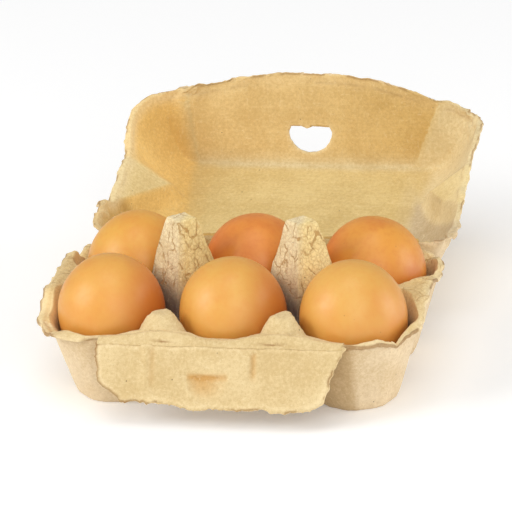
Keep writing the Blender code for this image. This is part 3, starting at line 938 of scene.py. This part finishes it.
def flap_rib(x, h):
    return bell_mm(x, -29, 1.8) * ease_mm(h, 1, 3) * (1 - ease_mm(h, 14, 21))


def flap_painted_shade(x, h):
    """Where shade is painted in brown on the flap: the recess's steep edge and its left, the slot,
    beside the rib.
    """
    down = (h - LUG_TOP) / (LUG_BOTTOM - LUG_TOP)
    beside = ease(np.abs(x - LUG_X), LUG_HALF_WIDTH - 1.5 * MM, LUG_HALF_WIDTH)
    edge = bell(down, 0.06, 0.12) * (1 - beside)
    bowl = lug_dish(x, h) * mix(0.75, 0.2, ease_mm(x - LUG_X, -2, 7))
    beside_rib = bell_mm(x, -26.6, 1.1) * flap_rib(-29 * MM, h)
    return np.clip(0.55 * edge + bowl + 0.55 * flap_slot(x, h) + 0.3 * beside_rib, 0, 1)


def build_flap(material):
    tt, hh = spread_out(np.linspace(-1, 1, FLAP_COLUMNS), np.linspace(0, 1, FLAP_ROWS))
    x = tt * flap_half_width(hh, np.where(tt < 0, -1, 1))
    height = FLAP_ROOT + (flap_length(x) - FLAP_ROOT) * hh
    sag = 0.5 * MM * np.sin(x / (17 * MM)) * hh
    flat = np.column_stack([x, np.zeros_like(x), height])
    lumps = 0.3 * MM * fractal(flat, 11 * MM, 85) * ease_mm(height, 2, 8)
    front = np.column_stack([x, sag, height])
    back = front.copy()
    front[:, 1] += lumps + 0.7 * MM * flap_rib(x, height) - 0.8 * MM * flap_slot(x, height)
    front[:, 1] -= DISH_DEPTH * mix(0.6, 1.0, ease_mm(height, 14, 22)) * lug_dish(x, height)
    back[:, 1] -= 3.2 * MM * lug_back(x, height)
    thick = mix(1.0 * MM, FLAP_THICK, ease_mm(height, 0.9, 4))
    front[:, 1] += thick / 2
    back[:, 1] -= thick / 2
    faces = grid_faces(FLAP_ROWS, FLAP_COLUMNS)
    loops = boundary_loops(faces)
    front, back = fray(front, back, loops, 1.1 * MM, 3.6 * MM, seed=71)
    points, shell = closed_sheet(back, front, faces, loops, 0.4 * MM)
    points = roughened(points, shell, 81)
    rim = rim_distance(points, front, loops)
    x, height = points[:, 0].copy(), points[:, 2].copy()
    facing = points[:, 1] > -0.4 * MM - DISH_DEPTH * lug_dish(x, height)
    points = turned(points, 180 - FLAP_HANG) + FLAP_HINGE
    tint = np.tile(FLAP_STRAW, (len(points), 1))
    # Painted shade in the lug's recess, the slot and beside the rib, on the flap's front face.
    tint = paint(tint, LUG_SHADE_BROWN, facing * flap_painted_shade(x, height))
    tint = paint(tint, RIM_PALE, 0.4 * bell_mm(rim, 1.2, 0.8))
    torn_side = ease_mm(-x, 34, 40) * bell_mm(rim, 0.0, 0.7)
    tint = paint(tint, TORN_BROWN, 0.7 * torn_side)
    tint = torn_edge(tint, points, rim, 86)
    new_piece("flap_plate", points, shell, material, "locking_flap", "flap", tint)


# ---------------- creases


def crease_strip(name, path, half_width, thick, material, seed, node):
    """A soft strip of pulp along a crease, following path (y, z) in the world."""
    path = np.array(path)
    smooth = catmull(path, 5)
    xs = np.linspace(-half_width, half_width, 221)
    top = np.array([(x, y, z) for y, z in smooth for x in xs])
    across = np.repeat(np.linspace(0, 1, len(smooth)), len(xs))
    if node == "front_hinge":
        top[:, 2] += front_swell(top[:, 0]) * (1 - ease(across, 0.35, 0.75))
    faces = grid_faces(len(smooth), len(xs))
    normals = surface_normals(top, faces)
    if normals[:, 2].mean() < 0:
        normals = -normals
    bottom = top - normals * thick
    loops = boundary_loops(faces)
    top, bottom = fray(top, bottom, loops, 0.5 * MM, 4 * MM, seed)
    points, shell = closed_sheet(top, bottom, faces, loops, 0.2 * MM)
    points = roughened(points, shell, seed + 4, 1.2)
    # The rear crease, under the lid's hinge, gets the painted shade colour of the hollows.
    tint = np.tile(FLAP_STRAW if node == "front_hinge" else HOLLOW_SHADE_GOLD, (len(points), 1))
    if node == "front_hinge":
        x, along = points[:, 0], points[:, 2] + 0.3 * MM * fractal(points, 3 * MM, 95)
        cracks = np.max([bell_mm(x, -23, 3.4), bell_mm(x, 21, 4.6)], axis=0)
        tint = paint(tint, TORN_BROWN, 0.9 * cracks * bell(along, FLAP_HINGE[2] + 0.1 * MM, 0.3 * MM))
    piece = new_piece(name, points, shell, material, node, tint=tint)
    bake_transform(piece)


def catmull(points, steps):
    """A smooth curve through the points."""
    padded = np.vstack([2 * points[0] - points[1], points, 2 * points[-1] - points[-2]])
    out = []
    for a, b, c, d in zip(padded, padded[1:], padded[2:], padded[3:]):
        for i in range(steps):
            t = i / steps
            out.append(
                0.5 * ((2 * b) + (c - a) * t + (2 * a - 5 * b + 4 * c - d) * t**2
                       + (3 * b - a - 3 * c + d) * t**3)
            )
    out.append(points[-1])
    return np.array(out)


def build_creases(tray_material, lid_material):
    fy, fz = FLAP_HINGE[1], FLAP_HINGE[2]
    down = np.array([-sin(radians(FLAP_HANG)), -cos(radians(FLAP_HANG))])
    out = np.array([down[1], -down[0]])
    front_face = [
        np.array([fy, fz]) + down * h + out * (0.85 * MM) for h in mm(0.9, 2.1)
    ]
    edge_y = TRAY_FRONT + CARTON_Y
    front_path = [(edge_y + 1.2 * MM, FRONT_RIM + 0.1 * MM), (edge_y, FRONT_RIM + 0.25 * MM),
                  (edge_y - 1.2 * MM, FRONT_RIM + 0.1 * MM), *front_face]
    crease_strip(
        "front_crease", front_path, 49.5 * MM, 0.9 * MM, tray_material, 91,
        "front_hinge",
    )
    ly, lz = LID_HINGE[1], LID_HINGE[2]
    edge_y = TRAY_REAR + CARTON_Y
    rear_path = [(edge_y - 1.2 * MM, REAR_RIM + 0.1 * MM), (edge_y + 0.2 * MM, REAR_RIM + 0.9 * MM),
                 (ly - 0.6 * MM, lz + 0.45 * MM), (ly + 0.5 * MM, lz + 0.1 * MM),
                 (ly + 1.0 * MM, lz - 1.4 * MM), (ly + 1.9 * MM, lz - 3.4 * MM)]
    crease_strip(
        "rear_crease", rear_path, 62.5 * MM, 0.9 * MM, lid_material, 111,
        "rear_hinge",
    )


# ---------------- eggs


EGG_SEGMENTS, EGG_RINGS = 96, 64
# The colour of the painted shade on the eggs' sides
EGG_SIDE_SHADE = srgb(206, 104, 38)
# Each egg's colour, its deeper colour, and how much painted shade its right (or, below 0, left) side
# gets
EGG_LOOKS = {
    "egg_front_left": (srgb(230, 168, 76), srgb(224, 146, 58), 1.0),
    "egg_front_middle": (srgb(228, 171, 80), srgb(224, 148, 60), 0.9),
    "egg_front_right": (srgb(228, 172, 82), srgb(224, 150, 64), 0.3),
    "egg_rear_left": (srgb(230, 171, 73), srgb(224, 144, 56), 0.4),
    "egg_rear_middle": (srgb(228, 143, 55), srgb(206, 106, 36), -0.8),
    "egg_rear_right": (srgb(229, 157, 61), srgb(208, 112, 38), -1.0),
}


def build_egg(name, x, y, material, seed):
    rng = np.random.default_rng(seed)
    angles = np.linspace(0, pi, EGG_RINGS + 1)[1:-1]
    turns = np.linspace(0, 2 * pi, EGG_SEGMENTS, endpoint=False)
    points = []
    for a in angles:
        z = -cos(a) * (EGG_ABOVE if cos(a) < 0 else EGG_BELOW)
        r = EGG_RADIUS * sin(a)
        points += [(r * cos(t), r * sin(t), z) for t in turns]
    points += [(0, 0, -EGG_BELOW), (0, 0, EGG_ABOVE)]
    points = np.array(points)
    faces = []
    for ring in range(len(angles) - 1):
        for k in range(EGG_SEGMENTS):
            after = (k + 1) % EGG_SEGMENTS
            low, high = ring * EGG_SEGMENTS, (ring + 1) * EGG_SEGMENTS
            faces.append((low + k, low + after, high + after, high + k))
    south, north = len(points) - 2, len(points) - 1
    last = (len(angles) - 1) * EGG_SEGMENTS
    for k in range(EGG_SEGMENTS):
        after = (k + 1) % EGG_SEGMENTS
        faces.append((after, k, south))
        faces.append((last + k, last + after, north))
    lumps = 0.25 * MM * noise(points + seed * 10 * MM, 16 * MM, 5)
    pits = 0.02 * MM * noise(points + seed * 10 * MM, 1.1 * MM, 6)
    points *= (1 + (lumps + pits) / np.linalg.norm(points, axis=1))[:, None]
    lean = Matrix.Rotation(radians(rng.uniform(-1.5, 1.5)), 3, "X")
    points = points @ np.array(lean).T + (x, y + CARTON_Y, EGG_BELT_Z)
    new_piece(name + "_shell", points, faces, material, name, name)


# ---------------- materials


def plain_material(name):
    material = bpy.data.materials.new(name)
    material.use_nodes = True
    return material


class Shading:
    """A material's node tree, with a short call for each kind of node it is made of."""

    def __init__(self, name):
        self.material = plain_material(name)
        self.tree = self.material.node_tree
        self.shader = self.tree.nodes["Principled BSDF"]
        self.coords = self.add("TexCoord").outputs["Object"]

    def put(self, node, values):
        """Sets a node's inputs, with a link for each value that is another node's output."""
        for key, value in values.items():
            if isinstance(value, bpy.types.NodeSocket):
                self.tree.links.new(value, node.inputs[key])
            else:
                node.inputs[key].default_value = value

    def add(self, kind, values=None, **settings):
        node = self.tree.nodes.new("ShaderNode" + kind)
        for key, value in settings.items():
            setattr(node, key, value)
        self.put(node, values or {})
        return node

    def noise(self, size, detail=3.0, roughness=0.5, stretch=(1, 1, 1), distortion=0.0):
        scale = tuple(1 / (size * s) for s in stretch)
        placed = self.add("Mapping", {"Vector": self.coords, "Scale": scale}).outputs[0]
        values = {"Vector": placed, "Scale": 1.0, "Detail": detail, "Roughness": roughness}
        return self.add("TexNoise", {**values, "Distortion": distortion}).outputs["Fac"]

    def cells(self, vector, scale, feature="F1"):
        return self.add("TexVoronoi", {"Vector": vector, "Scale": scale}, feature=feature).outputs

    def math(self, operation, a, b):
        return self.add("Math", {0: a, 1: b}, operation=operation).outputs[0]

    def plus(self, a, b):
        return self.math("ADD", a, b)

    def times(self, a, b):
        return self.math("MULTIPLY", a, b)

    def vector(self, operation, a, b):
        return self.add("VectorMath", {0: a, 1: b}, operation=operation).outputs[0]

    def part(self, vector, axis):
        return self.add("SeparateXYZ", {0: vector}).outputs[axis]

    def remap(self, value, low, high, to_low=0.0, to_high=1.0):
        values = {"Value": value, "From Min": low, "From Max": high, "To Min": to_low, "To Max": to_high}
        return self.add("MapRange", values, interpolation_type="SMOOTHSTEP").outputs[0]

    def mix(self, factor, a, b, mode="MIX"):
        a, b = (c if isinstance(c, bpy.types.NodeSocket) else (*c, 1.0) for c in (a, b))
        return self.add("MixRGB", {"Fac": factor, "Color1": a, "Color2": b}, blend_type=mode).outputs[0]

    def bump(self, height, strength, distance):
        values = {"Height": height, "Strength": strength, "Distance": distance}
        return self.add("Bump", values).outputs[0]


def pulp_material(name, grain_bump, lines=0.0):
    """Moulded paper pulp: its local colour is the piece's tint, broken up by fibres and specks."""
    look = Shading(name)
    tint = look.add("Attribute", attribute_name="tint").outputs["Color"]
    cloud = look.noise(22 * MM, 4)
    grain = look.noise(1.3 * MM, 6, 0.65)
    fine = look.noise(0.42 * MM, 3, 0.6)
    fibre_a = look.noise(0.9 * MM, 4, 0.6, (3.4, 0.7, 0.9), 1.2)
    fibre_b = look.noise(0.9 * MM, 4, 0.6, (0.7, 2.6, 2.6), 1.2)
    fibre = look.math("MAXIMUM", fibre_a, fibre_b)
    tone = look.plus(look.times(cloud, 0.5), look.times(grain, 0.5))
    shade = look.mix(look.remap(tone, 0.36, 0.64), (0.86, 0.80, 0.70), (1.06, 1.06, 1.08))
    colour = look.mix(1.0, tint, shade, "MULTIPLY")
    crack = look.times(crack_lines(look), look.add("Attribute", attribute_name="cracked").outputs["Fac"])
    for share, other in (
        (look.remap(fibre, 0.56, 0.72, 0.0, 0.25), srgb(252, 236, 194)),
        (look.remap(fine, 0.30, 0.44, 0.30, 0.0), srgb(170, 124, 66)),
        (look.times(specks(look), 0.75), srgb(96, 66, 40)),
        (look.times(crack, 0.70), srgb(178, 128, 62)),
    ):
        colour = look.mix(share, colour, other)
    height = look.plus(look.times(grain, 0.5), look.times(fibre, 0.4))
    height = look.plus(height, look.times(fine, 0.25))
    if lines:
        streaks = look.noise(1.1 * MM, 2, 0.5, (30, 1, 1))
        height = look.plus(height, look.times(streaks, lines))
        faint = look.mix(look.remap(streaks, 0.35, 0.65), (0.975, 0.97, 0.95), (1.01, 1.01, 1.015))
        colour = look.mix(1.0, colour, faint, "MULTIPLY")
    height = look.math("SUBTRACT", height, look.times(crack, 2.0))
    look.put(look.shader, {
        "Base Color": colour,
        "Roughness": look.remap(grain, 0.3, 0.7, 0.82, 0.98),
        "Normal": look.bump(height, grain_bump, 0.6 * MM),
        "Specular IOR Level": 0.25,
        "Sheen Weight": 0.08,
    })
    return look.material


def specks(look):
    """Dark dots, here and there."""
    cells = look.cells(look.coords, 1 / (4.5 * MM))
    chance = look.add("SeparateColor", {"Color": cells["Color"]}).outputs[0]
    dot = look.remap(cells["Distance"], 0.04, 0.08, 1.0, 0.0)
    return look.times(dot, look.remap(chance, 0.72, 0.80))


def crack_lines(look):
    """A few long thin cracks over a fine crackle."""
    values = {"Vector": look.coords, "Scale": 1 / (2.6 * MM), "Detail": 3.0}
    moved = look.vector("SUBTRACT", look.add("TexNoise", values).outputs["Color"], (0.5, 0.5, 0.5))
    scaled = look.add("VectorMath", {0: moved, "Scale": 2.6 * MM}, operation="SCALE").outputs[0]
    bent = look.vector("ADD", look.coords, scaled)
    scale = (1 / (6.5 * MM), 1 / (6.5 * MM), 1 / (10 * MM))
    placed = look.add("Mapping", {"Vector": bent, "Scale": scale}).outputs[0]
    net = look.cells(placed, 1.0, "DISTANCE_TO_EDGE")["Distance"]
    line = look.remap(net, 0.012, 0.06, 1.0, 0.0)
    gate = look.remap(look.noise(6 * MM, 3), 0.42, 0.56)
    small = look.cells(bent, 1 / (2.0 * MM), "DISTANCE_TO_EDGE")["Distance"]
    return look.math("MAXIMUM", look.times(line, gate), look.remap(small, 0.02, 0.14, 0.32, 0.0))


def egg_material(name, base, deep, seed, middle_x, painted_shade_side):
    """A brown shell with painted shade: deeper in colour low down and toward one side."""
    look = Shading(name)
    toward = 1 if painted_shade_side > 0 else -1
    # Painted shade on one side of the egg, where the posts and the other eggs shade it.
    side = look.remap(look.part(look.coords, 0), middle_x + toward * 4 * MM, middle_x + toward * 21 * MM)
    look.coords = look.vector("ADD", look.coords, (seed * 0.31, seed * 0.17, 0))
    mottle = look.noise(2.2 * MM, 5, 0.6)
    dots = look.cells(look.coords, 1 / (3.4 * MM))
    chance = look.add("SeparateColor", {"Color": dots["Color"]}).outputs[1]
    dot = look.remap(dots["Distance"], 0.05, 0.11, 1.0, 0.0)
    freckles = look.times(dot, look.remap(chance, 0.72, 0.85))
    colour = base
    for share, other in (
        (look.remap(look.noise(14 * MM, 4, 0.55), 0.40, 0.70, 0.0, 0.5), deep),
        (look.remap(mottle, 0.45, 0.70, 0.0, 0.2), deep),
        # painted shade: deeper low down on the egg
        (look.remap(look.part(look.coords, 2), 32 * MM, 52 * MM, 0.4, 0.0), deep),
        (look.times(side, 0.75 * abs(painted_shade_side)), EGG_SIDE_SHADE),
        (look.times(freckles, 0.3), srgb(150, 74, 30)),
    ):
        colour = look.mix(share, colour, other)
    look.put(look.shader, {
        "Base Color": colour,
        "Roughness": look.remap(mottle, 0.3, 0.7, 0.40, 0.52),
        "Normal": look.bump(look.noise(0.35 * MM, 2, 0.5), 0.18, 0.15 * MM),
        "Specular IOR Level": 0.5,
        "Coat Weight": 0.2,
        "Coat Roughness": 0.36,
        "Subsurface Weight": 0.12,
        "Subsurface Radius": (1.0, 0.45, 0.2),
        "Subsurface Scale": 4 * MM,
    })
    return look.material


# ---------------- stage, lights and camera


FLOOR_HALF, FLOOR_GAP = 3.0, 0.02 * MM


def build_stage():
    mesh = bpy.data.meshes.new("floor")
    half = FLOOR_HALF
    corners = [(-half, -half, 0), (half, -half, 0), (half, half, 0), (-half, half, 0)]
    mesh.from_pydata(corners, [], [(0, 1, 2, 3)])
    material = plain_material("floor")
    shader = material.node_tree.nodes["Principled BSDF"]
    for key, value in (
        ("Base Color", (0.93, 0.93, 0.93, 1)),
        ("Roughness", 0.9),
        ("Emission Color", (1, 1, 1, 1)),
        ("Emission Strength", 0.16),
    ):
        shader.inputs[key].default_value = value
    mesh.materials.append(material)
    floor = add_object("floor", mesh)
    floor.location.z = -FLOOR_GAP


def direction(azimuth, elevation):
    """The way from the carton to something seen at this azimuth and elevation, in degrees."""
    a, e = radians(azimuth), radians(elevation)
    return Vector((sin(a) * cos(e), -cos(a) * cos(e), sin(e)))


def area_light(name, azimuth, elevation, distance, size, power):
    data = bpy.data.lights.new(name, "AREA")
    data.shape = "SQUARE"
    data.size = size
    data.energy = power
    light = add_object(name, data)
    back = direction(azimuth, elevation)
    light.location = back * distance
    light.rotation_mode = "QUATERNION"
    light.rotation_quaternion = back.to_track_quat("Z", "Y")


def build_lights():
    scene = bpy.context.scene
    scene.view_settings.view_transform = "Standard"
    scene.view_settings.look = "None"
    world = bpy.data.worlds.new("studio")
    world.use_nodes = True
    background = world.node_tree.nodes["Background"]
    background.inputs["Color"].default_value = (1.0, 1.0, 1.0, 1)
    background.inputs["Strength"].default_value = 0.36
    scene.world = world
    area_light("left", -62, 30, 2.4, 1.2, 26)
    area_light("right", 98, 13, 2.4, 1.2, 20)
    area_light("front", 22, 30, 2.6, 1.8, 21)
    area_light("top", 0, 80, 2.6, 1.6, 15)


SENSOR_WIDTH, CLIP_NEAR, CLIP_FAR = 36, 0.05, 20
CAMERA_AZIMUTH, CAMERA_ELEVATION, CAMERA_ROLL = 12.28, 21.09, 2.91
CAMERA_DISTANCE = 1.768
CAMERA_FOCAL = 305.4
CAMERA_AIM_RIGHT, CAMERA_AIM_UP, CAMERA_AIM_Z = mm(5.16, 43.64, 2)


def build_camera():
    data = bpy.data.cameras.new("camera")
    data.sensor_width = SENSOR_WIDTH
    data.lens = CAMERA_FOCAL
    data.clip_start, data.clip_end = CLIP_NEAR, CLIP_FAR
    camera = add_object("camera", data)
    a, r = radians(CAMERA_AZIMUTH), radians(CAMERA_ROLL)
    right = Vector((cos(a), sin(a), 0))
    back = direction(CAMERA_AZIMUTH, CAMERA_ELEVATION)
    up = back.cross(right)
    rolled_x = right * cos(r) - up * sin(r)
    rolled_y = right * sin(r) + up * cos(r)
    place = right * CAMERA_AIM_RIGHT + up * CAMERA_AIM_UP + back * CAMERA_DISTANCE
    place += Vector((0, CARTON_Y, CAMERA_AIM_Z))
    turn = Matrix((rolled_x, rolled_y, back)).transposed().to_4x4()
    camera.matrix_world = Matrix.Translation(place) @ turn
    bpy.context.scene.camera = camera


# ---------------- the whole scene


def main():
    build_camera()
    build_stage()
    build_lights()
    tray_pulp = pulp_material("tray_pulp_detail", 0.5)
    lid_pulp = pulp_material("lid_pulp_detail", 0.3, lines=0.14)
    flap_pulp = pulp_material("flap_pulp_detail", 0.5)
    build_tray(tray_pulp)
    build_lid(lid_pulp)
    build_flap(flap_pulp)
    build_creases(flap_pulp, lid_pulp)
    for seed, (name, (base, deep, painted_shade_side)) in enumerate(EGG_LOOKS.items(), start=1):
        row, column = divmod(seed - 1, len(COLUMN_X))
        x = COLUMN_X[column] + EGG_SHIFTS.get(name, 0.0)
        material = egg_material(name + "_shell", base, deep, seed, x, painted_shade_side)
        build_egg(name, x, ROW_Y[row], material, seed)


main()
